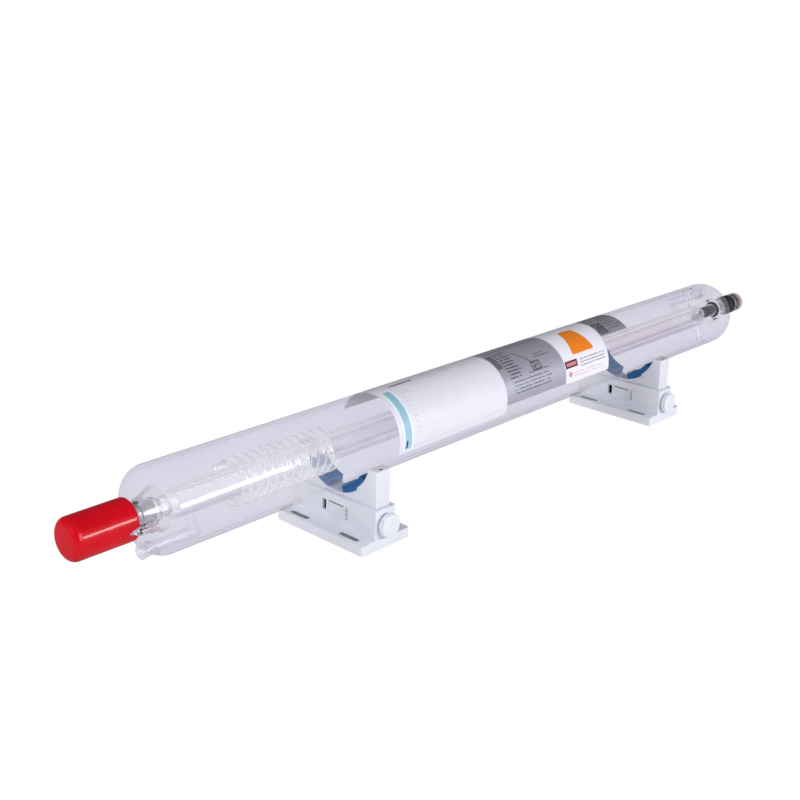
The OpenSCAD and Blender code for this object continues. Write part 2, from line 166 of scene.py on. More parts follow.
def soften(node, width, segments=2, angle=32.0, name=None):
    """A copy of a CAD node with merged faces and rounded edges, which stands for it."""
    me = nodes[node].data.copy()
    bm = bmesh.new()
    bm.from_mesh(me)
    bmesh.ops.remove_doubles(bm, verts=bm.verts, dist=2e-6)
    bmesh.ops.dissolve_limit(
        bm,
        angle_limit=math.radians(0.6),
        use_dissolve_boundaries=False,
        verts=bm.verts,
        edges=bm.edges,
    )
    bm.to_mesh(me)
    bm.free()
    me.polygons.foreach_set("use_smooth", [True] * len(me.polygons))
    me.set_sharp_from_angle(angle=math.radians(angle))
    ob = bpy.data.objects.new(name or node + "_body", me)
    bpy.context.scene.collection.objects.link(ob)
    mod = ob.modifiers.new("edge", "BEVEL")
    mod.width = width * MM
    mod.segments = segments
    mod.limit_method = "ANGLE"
    mod.angle_limit = math.radians(angle)
    mod.use_clamp_overlap = True
    mod.harden_normals = False
    mod.miter_outer = "MITER_ARC"
    dg = bpy.context.evaluated_depsgraph_get()
    done = bpy.data.meshes.new_from_object(ob.evaluated_get(dg))
    ob.modifiers.clear()
    ob.data = done
    done.polygons.foreach_set("use_smooth", [True] * len(done.polygons))
    done.set_sharp_from_angle(angle=math.radians(40))
    return ob


# ------------------------------------------------------------------ node materials
class G:
    """A small helper for building a material's node graph."""

    def __init__(self, name):
        self.mat = bpy.data.materials.new(name)
        self.mat.use_nodes = True
        self.t = self.mat.node_tree
        self.t.nodes.clear()
        self.out = self.t.nodes.new("ShaderNodeOutputMaterial")

    def node(self, kind, **inputs):
        n = self.t.nodes.new(kind)
        for k, v in inputs.items():
            self.set(n.inputs[k], v)
        return n

    def set(self, sock, v):
        if isinstance(v, V):
            self.t.links.new(v.s, sock)
        elif isinstance(v, bpy.types.NodeSocket):
            self.t.links.new(v, sock)
        else:
            sock.default_value = v

    def math(self, op, *args, clamp=False):
        n = self.t.nodes.new("ShaderNodeMath")
        n.operation = op
        n.use_clamp = clamp
        for i, a in enumerate(args):
            self.set(n.inputs[i], a)
        return V(self, n.outputs[0])

    def coords(self):
        """Object coordinates in mm: x along the tube, y, z from the tube axis."""
        c = self.node("ShaderNodeTexCoord")
        s = self.node("ShaderNodeSeparateXYZ")
        self.t.links.new(c.outputs["Object"], s.inputs[0])
        return (
            V(self, s.outputs[0]) * 1000.0,
            V(self, s.outputs[1]) * 1000.0,
            V(self, s.outputs[2]) * 1000.0,
        )

    def object_vector(self):
        return self.node("ShaderNodeTexCoord").outputs["Object"]

    def noise(self, vector, scale, detail=3.0, rough=0.5, dims="3D"):
        n = self.t.nodes.new("ShaderNodeTexNoise")
        n.noise_dimensions = dims
        self.set(n.inputs["Vector"], vector)
        n.inputs["Scale"].default_value = scale
        n.inputs["Detail"].default_value = detail
        n.inputs["Roughness"].default_value = rough
        return V(self, n.outputs[0])

    def vec(self, x, y, z=0.0):
        n = self.node("ShaderNodeCombineXYZ")
        self.set(n.inputs[0], x)
        self.set(n.inputs[1], y)
        self.set(n.inputs[2], z)
        return n.outputs[0]

    def white(self, w):
        n = self.t.nodes.new("ShaderNodeTexWhiteNoise")
        n.noise_dimensions = "1D"
        self.set(n.inputs["W"], w)
        return V(self, n.outputs["Value"])

    def mix(self, fac, a, b):
        """Colour mix."""
        n = self.t.nodes.new("ShaderNodeMix")
        n.data_type = "RGBA"
        self.set(n.inputs[0], fac)
        for sock, v in ((n.inputs[6], a), (n.inputs[7], b)):
            if isinstance(v, (tuple, list)):
                sock.default_value = (*v[:3], 1.0)
            else:
                self.set(sock, v)
        return n.outputs[2]

    def ramp(self, fac, *stops):
        n = self.t.nodes.new("ShaderNodeValToRGB")
        self.set(n.inputs[0], fac)
        e = n.color_ramp.elements
        while len(e) < len(stops):
            e.new(0.5)
        for k, (pos, col) in enumerate(stops):
            e[k].position = pos
            e[k].color = (*col, 1.0) if len(col) == 3 else col
        return n.outputs[0]

    def bump(self, height, strength, distance):
        n = self.node("ShaderNodeBump")
        self.set(n.inputs["Height"], height)
        n.inputs["Strength"].default_value = strength
        n.inputs["Distance"].default_value = distance
        return n.outputs[0]

    def edge(self):
        """0 facing, 1 at the rim, the same on both sides of the surface."""
        n = self.node("ShaderNodeLayerWeight")
        n.inputs["Blend"].default_value = 0.5
        return V(self, n.outputs["Facing"])

    def principled(self, **kw):
        n = self.t.nodes.new("ShaderNodeBsdfPrincipled")
        for k, v in kw.items():
            name = k.replace("_", " ")
            if isinstance(v, (tuple, list)) and n.inputs[name].type == "RGBA":
                v = (*v, 1.0)
            self.set(n.inputs[name], v)
        return n

    def finish(self, shader):
        self.t.links.new(shader, self.out.inputs["Surface"])
        return self.mat


class V:
    """A number in a node graph."""

    def __init__(self, g, s):
        self.g, self.s = g, s

    def __add__(self, o):
        return self.g.math("ADD", self, o)

    __radd__ = __add__

    def __sub__(self, o):
        return self.g.math("SUBTRACT", self, o)

    def __rsub__(self, o):
        return self.g.math("SUBTRACT", o, self)

    def __mul__(self, o):
        return self.g.math("MULTIPLY", self, o)

    __rmul__ = __mul__

    def __truediv__(self, o):
        return self.g.math("DIVIDE", self, o)

    def __gt__(self, o):
        return self.g.math("GREATER_THAN", self, o)

    def __lt__(self, o):
        return self.g.math("LESS_THAN", self, o)

    def __pow__(self, o):
        return self.g.math("POWER", self, o)

    def floor(self):
        return self.g.math("FLOOR", self)

    def fract(self):
        return self.g.math("FRACT", self)

    def abs(self):
        return self.g.math("ABSOLUTE", self)

    def max(self, o):
        return self.g.math("MAXIMUM", self, o)

    def min(self, o):
        return self.g.math("MINIMUM", self, o)

    def clamp(self):
        return self.g.math("ADD", self, 0.0, clamp=True)


def box(u, v, u0, u1, v0, v1):
    return (u > u0) * (u < u1) * (v > v0) * (v < v1)


def rows(g, u, v, u0, u1, v0, v1, pitch, fill=0.4, ragged=0.4, words=0.55, seed=1.0, gap=0.4):
    """Rows of short bars, the size of small print."""
    r = (v - v0) / pitch
    row, f = r.floor(), r.fract()
    end = u1 - g.white(row + seed) * (ragged * (u1 - u0))
    word = g.noise(g.vec(u * words, row * 3.71 + seed), 1.0, 1.0, 0.5, "2D") > gap
    return (u > u0) * (u < end) * (v > v0) * (v < v1) * (f > 0.25) * (f < 0.25 + fill) * word


def clear_shell(name, centre, rim, gloss=1.0, rough=0.015, wave=0.0, power=3.0, pink=None, milk_and_rim_highlight=(0.0, 0.0, 1.0), shaded_lower_rim=None, near=False, band=None, shade=1.0):
    """Thin clear glass: see-through, with a reflection and a white diffuse rim, a painted highlight, that grow towards
    the rim.
    """
    g = G(name)
    e = g.edge()
    x, y, z = g.coords()
    path = g.node("ShaderNodeLightPath")
    shadow = V(g, path.outputs["Is Shadow Ray"])
    # With a lower rim tint given, the lower half's rim is tinted darker, painted shade, and only the upper half keeps
    # the white rim, a painted highlight.
    upper_half_lit = (z > AX)
    edge_tint = rim if shaded_lower_rim is None else g.mix(upper_half_lit, shaded_lower_rim, rim)
    tint = g.mix(e**power, centre, edge_tint)
    if pink is not None:
        # faint blush of the deposit inside, in patches along the tube
        patch = g.noise(g.vec(x * 0.03, 0.3, 0.1), 1.0, 1.0)
        m = ((x - 105.0) * 0.05).clamp() * ((238.0 - x) * 0.08).clamp() * (patch * 0.6 + 0.55).clamp()
        tint = g.mix(m, tint, g.mix(e**power, pink, edge_tint))
    # light on its way to a surface inside is not dimmed
    if near:
        tint = g.mix(((3.0 - y) * 0.2).clamp(), (0.995, 0.995, 0.996), tint)
    tint = g.mix(shadow, tint, (shade, shade, shade))
    clear = g.node("ShaderNodeBsdfTransparent")
    g.set(clear.inputs["Color"], tint)
    mixed = clear.outputs[0]
    lit = 1.0 - shadow
    # a white diffuse layer: an even milky veil plus a painted highlight that grows towards the rim
    if milk_and_rim_highlight[0] or milk_and_rim_highlight[1]:
        milk_and_highlight = g.node("ShaderNodeBsdfDiffuse")
        milk_and_highlight.inputs["Color"].default_value = (0.93, 0.93, 0.97, 1.0)
        amount = (e ** milk_and_rim_highlight[2]) * milk_and_rim_highlight[1] + milk_and_rim_highlight[0]
        # the painted rim highlight stays on the upper half when a lower rim tint is given
        if shaded_lower_rim is not None:
            amount = amount * upper_half_lit
        if near:
            # the turns behind, seen through the glass in front of them, are left without the painted rim highlight
            amount = amount * ((3.0 - y) * 0.2).clamp()
        # a ring of extra white at given x along the tube: a painted highlight
        if band is not None:
            amount = amount + (x > band[0]) * (x < band[1]) * band[2]
        mm = g.node("ShaderNodeMixShader")
        g.set(mm.inputs[0], (amount * lit).clamp())
        g.t.links.new(mixed, mm.inputs[1])
        g.t.links.new(milk_and_highlight.outputs[0], mm.inputs[2])
        mixed = mm.outputs[0]
    if gloss:
        # roughness varies a little with handling marks
        smear = g.noise(g.object_vector(), 55.0, 4.0, 0.6)
        shine = g.node("ShaderNodeBsdfGlossy")
        shine.inputs["Color"].default_value = (1, 1, 1, 1)
        g.set(shine.inputs["Roughness"], smear * 0.03 + rough)
        if wave:
            h = g.noise(g.vec(x * 0.012, y * 0.035, z * 0.035), 1.0, 2.0, 0.45)
            g.set(shine.inputs["Normal"], g.bump(h, wave, 0.001))
        fac = ((e**5.0) * (0.40 * gloss) + 0.045 * gloss).clamp() * lit
        if near:
            fac = fac * ((3.0 - y) * 0.2).clamp()
        mixer = g.node("ShaderNodeMixShader")
        g.set(mixer.inputs[0], fac)
        g.t.links.new(mixed, mixer.inputs[1])
        g.t.links.new(shine.outputs[0], mixer.inputs[2])
        mixed = mixer.outputs[0]
    return g.finish(mixed)


def solid_glass(name, color, rough=0.02, ior=1.46, wave=0.25):
    g = G(name)
    vec = g.object_vector()
    h = g.noise(vec, 190.0, 2.0, 0.5)
    p = g.principled(
        Base_Color=color,
        Roughness=g.noise(vec, 320.0, 3.0) * 0.03 + rough,
        IOR=ior,
        Transmission_Weight=1.0,
        Normal=g.bump(h, wave, 0.0004),
    )
    return g.finish(p.outputs[0])


def moulded(name, color, rough=0.42, grain=0.25, dirt=0.1, painted_hole_shade=False):
    """Moulded plastic with a fine spark-eroded grain and slightly rubbed edges."""
    g = G(name)
    vec = g.object_vector()
    fine = g.noise(vec, 2600.0, 2.0, 0.6)
    broad = g.noise(vec, 46.0, 5.0, 0.6)
    flow = g.noise(vec, 9.0, 3.0, 0.5)
    dark = tuple(c * 0.90 for c in color)
    light = tuple(min(1.0, c * 1.03) for c in color)
    col = g.mix(((broad - 0.35) * 2.2).clamp(), dark, color)
    col = g.mix((flow * dirt * 4.0).clamp(), col, light)
    geo = g.node("ShaderNodeNewGeometry")
    worn = ((V(g, geo.outputs["Pointiness"]) - 0.515) * 12.0).clamp()
    col = g.mix(worn * 0.35, col, light)
    if painted_hole_shade:
        # painted shade, with a little dust, inside the mounting slots and the strap screw holes
        x, y, z = g.coords()
        for cx in (XL, XR):
            dx = (x - cx).abs()
            slot = ((dx - 15.5).abs() < 1.9) * ((y.abs() - 21.5).abs() < 8.1) * (z < 6.15)
            hole = (dx < 1.4) * ((y.abs() - 32.0).abs() < 1.4) * (z < 48.15) * (z > 37.0)
            col = g.mix(slot * 0.7 + hole * 0.9, col, (0.10, 0.10, 0.125))
    p = g.principled(
        Base_Color=col,
        Roughness=(broad * 0.14 + rough - 0.07) - worn * 0.1,
        IOR=1.49,
        Normal=g.bump(fine * 0.7 + broad * 0.3, grain, 0.00012),
    )
    return g.finish(p.outputs[0])


def metal(name, color, rough=0.28, turned=True, axis=0):
    g = G(name)
    x, y, z = g.coords()
    along = (x, y, z)[axis]
    lines = g.noise(g.vec(along * 9.0, 0.2, 0.7), 1.0, 2.0) if turned else g.noise(g.object_vector(), 900.0, 3.0)
    smear = g.noise(g.object_vector(), 70.0, 4.0)
    col = g.mix(((smear - 0.4) * 2.5).clamp(), tuple(c * 0.82 for c in color), color)
    p = g.principled(
        Base_Color=col,
        Metallic=1.0,
        Roughness=lines * 0.18 + smear * 0.1 + rough - 0.12,
        Normal=g.bump(lines, 0.25, 0.00008),
    )
    return g.finish(p.outputs[0])


# ---- materials
# the envelope's band at x 289.6 to 292.4 paints a highlight round the right dome's edge
ENV = clear_shell("glass_envelope", (0.992, 0.992, 0.994), (0.90, 0.90, 0.935), gloss=0.75, rough=0.075, wave=0.08, power=9.0,
                  milk_and_rim_highlight=(0.055, 0.0, 1.0), band=(289.6, 292.4, 0.25), shade=0.94)
ENV_IN = clear_shell("glass_envelope_inside", (0.994, 0.994, 0.995), (0.80, 0.80, 0.85), gloss=0.0, power=12.0)
# jacket and bore: painted highlight along the upper rim, painted shade along the lower rim
JACKET = clear_shell("glass_jacket", (0.990, 0.986, 0.990), (0.96, 0.96, 0.97), gloss=0.25, rough=0.14, wave=0.15, power=6.0,
                     pink=(0.992, 0.972, 0.981), milk_and_rim_highlight=(0.03, 0.9, 6.0), shaded_lower_rim=(0.58, 0.57, 0.62))
BORE = clear_shell("glass_bore", (0.990, 0.986, 0.990), (0.92, 0.92, 0.94), gloss=0.25, rough=0.12, wave=0.1, power=6.0,
                   milk_and_rim_highlight=(0.0, 0.6, 7.0), shaded_lower_rim=(0.74, 0.73, 0.77))
COIL = clear_shell("glass_coil", (0.97, 0.97, 0.985), (0.60, 0.60, 0.68), gloss=1.3, rough=0.05, wave=0.1, power=3.0,
                   milk_and_rim_highlight=(0.15, 0.80, 2.0), near=True)
PIPE = clear_shell("glass_pipe", (0.990, 0.990, 0.992), (0.76, 0.76, 0.81), gloss=0.35, rough=0.05, wave=0.1, power=6.0,
                   milk_and_rim_highlight=(0.0, 0.15, 5.0))
BELL = clear_shell("glass_bell", (0.980, 0.980, 0.985), (0.60, 0.60, 0.65), gloss=1.2, rough=0.03, wave=0.9, power=4.0,
                   milk_and_rim_highlight=(0.07, 0.45, 2.5))
WORKED = solid_glass("glass_worked", (0.975, 0.975, 0.985), 0.03, 1.46, 0.5)
PINKISH = solid_glass("glass_stem", (0.97, 0.88, 0.90), 0.04, 1.46, 0.4)
CAPCLEAR = clear_shell("cap_clear", (0.97, 0.93, 0.945), (0.74, 0.64, 0.68), gloss=0.7, rough=0.10, wave=0.1, power=4.0,
                       milk_and_rim_highlight=(0.0, 0.12, 4.0))

PLASTIC = moulded("bracket_plastic", (0.735, 0.745, 0.83), painted_hole_shade=True)
PLASTIC_KNOB = moulded("knob_plastic", (0.755, 0.765, 0.85), rough=0.36, grain=0.18)
BLACK = moulded("black_plastic", (0.012, 0.012, 0.015), rough=0.4)


def rubber(name, color):
    g = G(name)
    vec = g.object_vector()
    fine = g.noise(vec, 1500.0, 3.0, 0.7)
    broad = g.noise(vec, 90.0, 4.0)
    col = g.mix(((broad - 0.35) * 2.0).clamp(), tuple(c * 0.7 for c in color), color)
    col = g.mix(((fine - 0.62) * 3.0).clamp() * 0.12, col, (0.12, 0.26, 0.50))
    p = g.principled(
        Base_Color=col,
        Roughness=broad * 0.2 + 0.45,
        Sheen_Weight=0.08,
        Sheen_Roughness=0.5,
        Normal=g.bump(fine, 0.35, 0.00015),
    )
    return g.finish(p.outputs[0])


RUBBER = rubber("pad_rubber", (0.003, 0.125, 0.38))


def red_vinyl():
    g = G("red_vinyl")
    vec = g.object_vector()
    x, y, z = g.coords()
    broad = g.noise(vec, 60.0, 4.0, 0.55)
    fine = g.noise(vec, 900.0, 3.0, 0.6)
    streak = g.noise(g.vec(x * 0.05, y * 0.6, z * 0.6), 1.0, 3.0)
    col = g.mix(((broad - 0.3) * 1.8).clamp(), (0.54, 0.0003, 0.008), (0.64, 0.0008, 0.013))
    col = g.mix(((fine - 0.68) * 6.0).clamp() * 0.3, col, (0.72, 0.05, 0.07))
    p = g.principled(
        Base_Color=col,
        Roughness=(broad * 0.12 + streak * 0.08 + 0.24),
        IOR=1.25,
        Coat_Weight=0.40,
        Coat_Roughness=0.04,
        Normal=g.bump(broad * 0.8 + fine * 0.2, 0.12, 0.0006),
    )
    return g.finish(p.outputs[0])


RED = red_vinyl()


def dark_rubber():
    g = G("head_rubber")
    x, y, z = g.coords()
    vec = g.object_vector()
    ring = g.noise(g.vec(x * 1.6, 0.4, 0.9), 1.0, 2.0)
    fine = g.noise(vec, 1400.0, 3.0, 0.6)
    band = ((x * 0.40).fract() > 0.55) * (x > 322.5)
    col = g.mix(((ring - 0.42) * 4.0).clamp(), (0.012, 0.011, 0.014), (0.050, 0.046, 0.052))
    col = g.mix(band * 0.85, col, (0.50, 0.47, 0.48))
    p = g.principled(
        Base_Color=col,
        Roughness=ring * 0.2 + fine * 0.12 + 0.34,
        IOR=1.4,
        Normal=g.bump(fine, 0.25, 0.00012),
    )
    return g.finish(p.outputs[0])


HEAD = dark_rubber()
STEEL = metal("steel", (0.62, 0.62, 0.64), 0.3, True, 1)
DARKSTEEL = metal("cathode_metal", (0.075, 0.075, 0.09), 0.30, True, 0)
ANODE = metal("anode_metal", (0.80, 0.80, 0.84), 0.42, True, 0)
ALU = metal("aluminium", (0.78, 0.79, 0.81), 0.3, True, 0)
GOLD = metal("gold_coating", (0.95, 0.72, 0.33), 0.12, False)
LENS = metal("lens_coating", (0.11, 0.085, 0.05), 0.16, False)


def film(name, body):
    """A printed film: body(g, x, a) gives (colour, roughness, metallic) from mm along the tube and degrees round it."""
    g = G(name)
    x, y, z = g.coords()
    a = g.math("ARCTAN2", z - AX, y * -1.0) * (180.0 / math.pi)
    col, rough, metallic = body(g, x, a)
    vec = g.object_vector()
    # a little orange peel and the faint ridges of a film laid by hand
    peel = g.noise(vec, 420.0, 2.0, 0.5)
    ridge = g.noise(g.vec(x * 0.02, a * 0.03, 0.5), 1.0, 3.0, 0.5)
    p = g.principled(
        Base_Color=col,
        Roughness=rough,
        IOR=1.5,
        Metallic=metallic,
        Coat_Weight=0.15,
        Coat_Roughness=0.2,
        Normal=g.bump(peel * 0.25 + ridge * 0.9, 0.18, 0.0007),
    )
    return g.finish(p.outputs[0])


def main_print(g, x, a):
    white = (0.775, 0.765, 0.865)
    fibre = g.noise(g.vec(x * 0.09, a * 0.11, 0.2), 1.0, 4.0)
    col = g.mix(((fibre - 0.3) * 1.5).clamp(), tuple(c * 0.955 for c in white), white)
    # pale blue band near the left end, darker towards the top
    band = box(x, a, -114.4, -108.6, -15.5, 80.0)
    halo = box(x, a, -115.8, -107.2, -17.5, 82.0)
    col = g.mix(halo, col, (0.78, 0.88, 0.94))
    tone = g.mix(((a + 10.0) / 90.0).clamp(), (0.36, 0.56, 0.74), (0.27, 0.48, 0.61))
    col = g.mix(band, col, tone)
    tag = box(x, a, -113.4, -111.9, -13.0, -2.0)
    col = g.mix(tag, col, (0.02, 0.06, 0.09))
    # a heading bar, sparse small print and a chart
    head = rows(g, x, a, -104.0, -82.0, 87.0, 94.5, 7.5, 0.55, 0.05, 0.9, 3.0, 0.34)
    col = g.mix(head * 0.85, col, (0.12, 0.11, 0.16))
    sub = rows(g, x, a, -80.0, -40.0, 84.0, 100.0, 4.0, 0.4, 0.6, 0.7, 11.0, 0.48)
    col = g.mix(sub * 0.45, col, (0.36, 0.35, 0.44))
    left = rows(g, x, a, -103.5, -91.0, 66.0, 74.0, 4.4, 0.34, 0.3, 0.6, 5.0, 0.36)
    col = g.mix(left * 0.5, col, (0.40, 0.38, 0.46))
    list_ = rows(g, x, a, -103.5, -99.0, 2.0, 62.0, 8.0, 0.3, 0.5, 0.8, 8.0, 0.40)
    col = g.mix(list_ * 0.35, col, (0.45, 0.42, 0.50))
    ax1 = box(x, a, -95.2, -94.8, 2.0, 44.0).max(box(x, a, -95.2, -89.5, 43.2, 44.4))
    col = g.mix(ax1 * 0.3, col, (0.45, 0.44, 0.53))
    # ruled line near the lower edge
    low = -13.6 + (x + 108.0) * 0.05
    rule = ((a - low).abs() < 0.55) * (x > -106.5) * (x < -22.0)
    col = g.mix(rule * 0.75, col, (0.52, 0.53, 0.66))
    foot = rows(g, x, a, -66.0, -20.0, -8.0, -3.5, 4.5, 0.3, 0.2, 0.5, 21.0, 0.60)
    col = g.mix(foot * 0.35, col, (0.45, 0.45, 0.52))
    top = (a > 104.0) * (a < 106.0) * (x > -70.0) * (x < -22.0)
    col = g.mix(top * 0.35, col, (0.50, 0.50, 0.60))
    return col, fibre * 0.12 + 0.30, 0.0


def data_print(g, x, a):
    base = (0.60, 0.60, 0.725)
    brush = g.noise(g.vec(x * 0.25, a * 2.2, 0.3), 1.0, 3.0, 0.6)
    col = g.mix(((brush - 0.3) * 1.4).clamp(), tuple(c * 0.86 for c in base), tuple(c * 1.1 for c in base))
    dark = (0.075, 0.07, 0.095)
    ink = rows(g, x, a, -8.0, 9.0, 30.0, 84.0, 5.6, 0.40, 0.35, 0.42, 2.0, 0.36)
    ink = ink.max(rows(g, x, a, -6.0, 44.0, 6.0, 29.0, 5.6, 0.28, 0.35, 0.50, 7.0, 0.36))
    ink = ink.max(rows(g, x, a, 12.0, 42.0, 30.0, 36.0, 5.6, 0.28, 0.35, 0.50, 17.0, 0.36))
    ink = ink.max(rows(g, x, a, 25.0, 40.0, 52.0, 60.0, 5.0, 0.28, 0.4, 0.5, 4.0, 0.30))
    col = g.mix(ink * 0.82, col, dark)
    # a small line drawing: a curved rod and a stepped block
    rod = (((x - 12.0) * 2.6 + (a - 66.0)).abs() < 1.6) * (x > 8.0) * (x < 22.0)
    col = g.mix(rod * 0.8, col, dark)
    blk = box(x, a, 17.0, 27.0, 33.0, 48.0) * (1.0 - box(x, a, 18.1, 25.9, 35.2, 45.6))
    blk = blk.max(box(x, a, 18.8, 21.6, 36.5, 40.5)).max(box(x, a, 23.0, 24.4, 38.0, 44.0))
    col = g.mix(blk * 0.8, col, dark)
    # dark round-cornered field at the upper left
    tag = box(x, a, -14.4, -9.0, 52.0, 84.0)
    col = g.mix(tag * 0.65, col, (0.11, 0.10, 0.135))
    top = (a > 92.0) * (a < 94.0) * (x > -12.0)
    col = g.mix(top * 0.5, col, dark)
    edge = (x < -14.6).max(x > 49.2).max(a < -4.6)
    col = g.mix(edge * 0.5, col, (0.62, 0.62, 0.68))
    return col, brush * 0.16 + 0.34, 0.55


def symbol_print(g, x, a):
    white = (0.84, 0.83, 0.92)
    fibre = g.noise(g.vec(x * 0.1, a * 0.12, 0.6), 1.0, 4.0)
    col = g.mix(((fibre - 0.3) * 1.5).clamp(), tuple(c * 0.955 for c in white), white)
    # a plain orange field with rounded corners, narrower towards the top, in mm round the tube
    dv = (((a - 61.0) * 0.436).abs() - 9.0).max(0.0)
    du = ((x - 75.8).abs() - (11.0 - (a - 36.0) * 0.11)).max(0.0)
    field = ((du * du + dv * dv) < 4.0) * 1.0
    grain = g.noise(g.vec(x * 0.5, a * 0.5, 0.1), 1.0, 3.0)
    orange = g.mix(grain, (0.78, 0.19, 0.010), (0.90, 0.26, 0.018))
    col = g.mix(field, col, orange)
    ink = rows(g, x, a, 68.5, 100.5, 13.0, 29.0, 5.2, 0.36, 0.08, 0.65, 5.0, 0.38)
    col = g.mix(ink * 0.75, col, (0.13, 0.11, 0.17))
    ink2 = rows(g, x, a, 59.0, 99.0, 0.0, 10.5, 5.2, 0.26, 0.12, 0.55, 9.0, 0.40)
    col = g.mix(ink2 * 0.55, col, (0.50, 0.14, 0.22))
    tile = box(x, a, 51.0, 65.2, 17.0, 28.5)
    tile_in = box(x, a, 52.6, 63.8, 19.8, 25.6)
    col = g.mix(tile, col, (0.07, 0.02, 0.03))
    col = g.mix(tile_in, col, (0.62, 0.20, 0.25))
    dot = (((x - 55.6) * (x - 55.6)) + ((a - 6.5) * 0.436) * ((a - 6.5) * 0.436)) < 4.0
    col = g.mix(dot * 0.75, col, (0.62, 0.06, 0.10))
    line = (a > 108.0) * (a < 109.6) * (x > 60.0) * (x < 104.0)
    col = g.mix(line * 0.4, col, (0.45, 0.45, 0.5))
    return col, fibre * 0.12 + 0.30, 0.0


def code_print(g, x, a):
    base = (0.50, 0.505, 0.57)
    brush = g.noise(g.vec(x * 0.3, a * 2.0, 0.9), 1.0, 3.0)
    col = g.mix(brush, tuple(c * 0.9 for c in base), base)
    dark = (0.06, 0.06, 0.08)
    patch = box(x, a, 104.6, 116.0, 52.0, 80.0) * (g.noise(g.vec(x * 0.9, a * 0.42, 0.2), 1.0, 0.0) > 0.44)
    col = g.mix(patch * 0.85, col, dark)
    ink = rows(g, x, a, 118.0, 135.5, 56.0, 106.0, 6.0, 0.34, 0.3, 0.6, 3.0, 0.32)
    ink = ink.max(rows(g, x, a, 104.6, 116.5, 84.0, 106.0, 6.0, 0.3, 0.2, 0.7, 6.0, 0.36))
    col = g.mix(ink * 0.7, col, dark)
    return col, brush * 0.15 + 0.32, 0.5


MAIN_FILM = film("film_main", main_print)
DATA_FILM = film("film_data", data_print)
SYMBOL_FILM = film("film_symbol", symbol_print)
CODE_FILM = film("film_code", code_print)


# ------------------------------------------------------------------ glass envelope
XE, XC, DR, WALL = 293.5, 276.5, 14.0, 2.0
XL_E, XL_C, XL_R = 296.8, 280.0, 12.0  # the reflector end is the taller dome


def side_profile(w, nr, neck_end, e=XE, c=XC, rc=DR, fillet=False):
    """Outline of one end, from the straight wall out to the neck, at an inward offset w."""
    pts = arc(c, R - rc, rc - w, 0, 90, 20)
    if fillet:
        pts += [(e - 4.45 - w, nr + 6.0 - w * 0.2), (e - 4.1 - w, nr + 5.0 - w * 0.2), (e - 3.3 - w, nr + 4.35 - w * 0.2), (e - 2.4 - w, nr + 3.8 - w * 0.2), (e - 1.2 - w, nr + 3.28 - w * 0.2)]
    pts += [(e - w, nr + 2.8 - w * 0.2), (e + 0.5 - w, nr + 1.5), (e + 1.4 - w, nr + 0.6), (e + 2.3 - w, nr + 0.16), (e + 3.4 - w, nr)]
    return pts + [(neck_end, nr)]


outer_r = side_profile(0.0, 6.2, 314.0)
inner_r = side_profile(WALL, 4.4, 314.0)
outer_l = [(-x, r) for x, r in side_profile(0.0, 6.2, 316.0, XL_E, XL_C, XL_R, True)]
inner_l = [(-x, r) for x, r in side_profile(WALL, 4.4, 316.0, XL_E, XL_C, XL_R, True)]
straight = [-240, -200, -160, -120, -80, -40, 0, 40, 80, 120, 160, 200, 240]
loop = outer_r + inner_r[::-1] + [(x, R - WALL) for x in straight[::-1]] + inner_l + outer_l[::-1] + [(x, R) for x in straight]
envelope = revolve("envelope_glass", loop, 160, sharp=50)
put(envelope, TUBE, ENV, ["glass_envelope"])
envelope.data.materials.append(ENV_IN)
envelope.data.materials.append(WORKED)
for poly in envelope.data.polygons:
    c = poly.center
    rho = math.hypot(c.y, c.z - AX * MM)
    ax = abs(c.x) * 1000
    out_way = (c.y * poly.normal.y + (c.z - AX * MM) * poly.normal.z) / max(rho, 1e-6)
    along_way = poly.normal.x * (1 if c.x > 0 else -1)
    if out_way * 0.9 + along_way * 0.5 < 0 and ax < 300:
        poly.material_index = 1
    if c.x > 0.2926 and rho < 0.0112:
        poly.material_index = 2

# ------------------------------------------------------------------ water jacket and discharge tube
JX0, JX1, JR, JW = -274.0, 271.0, 8.6, 1.2


def jacket_side(s, x_end, w):
    pts = [(x_end - s * 3.6 + s * (3.6 - w) * math.sin(t), JR - 3.6 + (3.6 - w) * math.cos(t)) for t in np.linspace(0, math.pi / 2, 10)]
    return pts + [(x_end - s * w, 4.62)]


j_out_r = jacket_side(1, JX1, 0.0)
j_in_r = jacket_side(1, JX1, JW)
j_out_l = jacket_side(-1, JX0, 0.0)
j_in_l = jacket_side(-1, JX0, JW)
xs = list(np.arange(-262, 262, 6.0))


def dimple(x, a):
    """Slight hand-drawn unevenness of the jacket."""
    return 0.05 * math.sin(x * 0.071 + 1.3) * math.cos(a * 2 + x * 0.013) + 0.03 * math.sin(x * 0.19 + a)


loop = j_out_r + j_in_r[::-1] + [(x, JR - JW) for x in xs[::-1]] + j_in_l + j_out_l[::-1] + [(x, JR) for x in xs]
jacket = revolve("jacket_glass", loop, 72, sharp=60, wobble=lambda x, a: -abs(dimple(x, a)) if -262 < x < 260 else 0.0)
put(jacket, TUBE, JACKET, ["water_jacket"])

